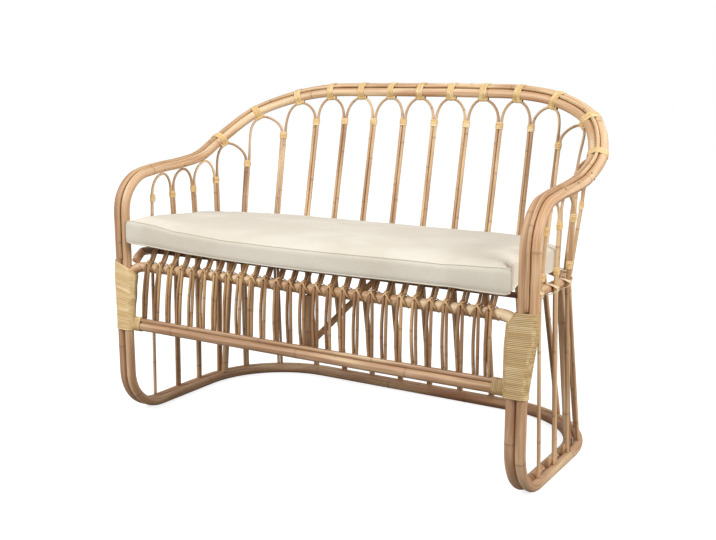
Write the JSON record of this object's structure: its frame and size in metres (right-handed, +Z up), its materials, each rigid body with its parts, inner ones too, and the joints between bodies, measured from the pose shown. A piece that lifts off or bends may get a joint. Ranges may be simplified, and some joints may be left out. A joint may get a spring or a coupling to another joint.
{
  "type": "rattan garden sofa",
  "caption": "Rattan garden loveseat: low curved back and arms of bent cane hoops, doubled pole frame with lashed joints, open cane seat and a loose box cushion.",
  "frame": {"origin": "on the floor, at the middle of the footprint of the whole sofa", "axes": "+Z up, the open front faces -Y, +X is the sitter's left, to the right of someone who faces the sofa"},
  "size_m": [1.1474, 0.6324, 0.8494],
  "materials": {
    "rattan_pole": "satin",
    "rattan_cane": "satin",
    "seat_cane": "satin",
    "under_frame": "satin",
    "lashing": "satin",
    "cushion": "matte"
  },
  "bodies": {
    "sofa_frame": {"upper_inner_pole": "rattan_pole", "upper_outer_pole": "rattan_pole", "groove_cane": "rattan_cane", "base_inner_pole": "rattan_pole", "base_outer_pole": "rattan_pole", "arch_hoop_01": "rattan_cane", "arch_hoop_02": "rattan_cane", "arch_hoop_03": "rattan_cane", "arch_hoop_04": "rattan_cane", "arch_hoop_05": "rattan_cane", "arch_hoop_06": "rattan_cane", "arch_hoop_07": "rattan_cane", "arch_hoop_08": "rattan_cane", "arch_hoop_09": "rattan_cane", "arch_hoop_10": "rattan_cane", "arch_hoop_11": "rattan_cane", "arch_hoop_12": "rattan_cane", "arch_hoop_13": "rattan_cane", "arch_hoop_14": "rattan_cane", "arch_hoop_15": "rattan_cane", "arch_hoop_16": "rattan_cane", "arch_hoop_17": "rattan_cane", "arch_hoop_18": "rattan_cane", "arch_hoop_19": "rattan_cane", "seat_ring": "under_frame", "front_seat_rail": "rattan_pole", "lower_front_rail": "rattan_pole", "seat_cane_pair_01": "seat_cane", "seat_cane_pair_02": "seat_cane", "seat_cane_pair_03": "seat_cane", "seat_cane_pair_04": "seat_cane", "seat_cane_pair_05": "seat_cane", "seat_cane_pair_06": "seat_cane", "seat_cane_pair_07": "seat_cane", "seat_cane_pair_08": "seat_cane", "seat_cane_pair_09": "seat_cane", "seat_cane_pair_10": "seat_cane", "seat_cane_pair_11": "seat_cane", "seat_cane_pair_12": "seat_cane", "seat_cane_pair_13": "seat_cane", "seat_cane_pair_14": "seat_cane", "seat_cane_pair_15": "seat_cane", "seat_cane_pair_16": "seat_cane", "seat_cane_pair_17": "seat_cane", "seat_cane_pair_18": "seat_cane", "seat_cane_pair_19": "seat_cane", "seat_cane_pair_20": "seat_cane", "seat_cane_pair_21": "seat_cane", "seat_cane_pair_22": "seat_cane", "seat_cane_pair_23": "seat_cane", "seat_cane_pair_24": "seat_cane", "seat_cane_pair_25": "seat_cane", "seat_cane_pair_26": "seat_cane", "seat_cane_pair_27": "seat_cane", "right_corner_post": "under_frame", "left_corner_post": "under_frame", "centre_brace": "under_frame", "right_leg_wrap": "lashing", "left_leg_wrap": "lashing"},
    "cushion": {"seat_cushion": "cushion"}
  },
  "joints": [
    {"name": "cushion_lift", "type": "slide", "parent": "sofa_frame", "child": "cushion", "axis": [0, 0, 1], "range_m": [0, 0.3]}
  ]
}
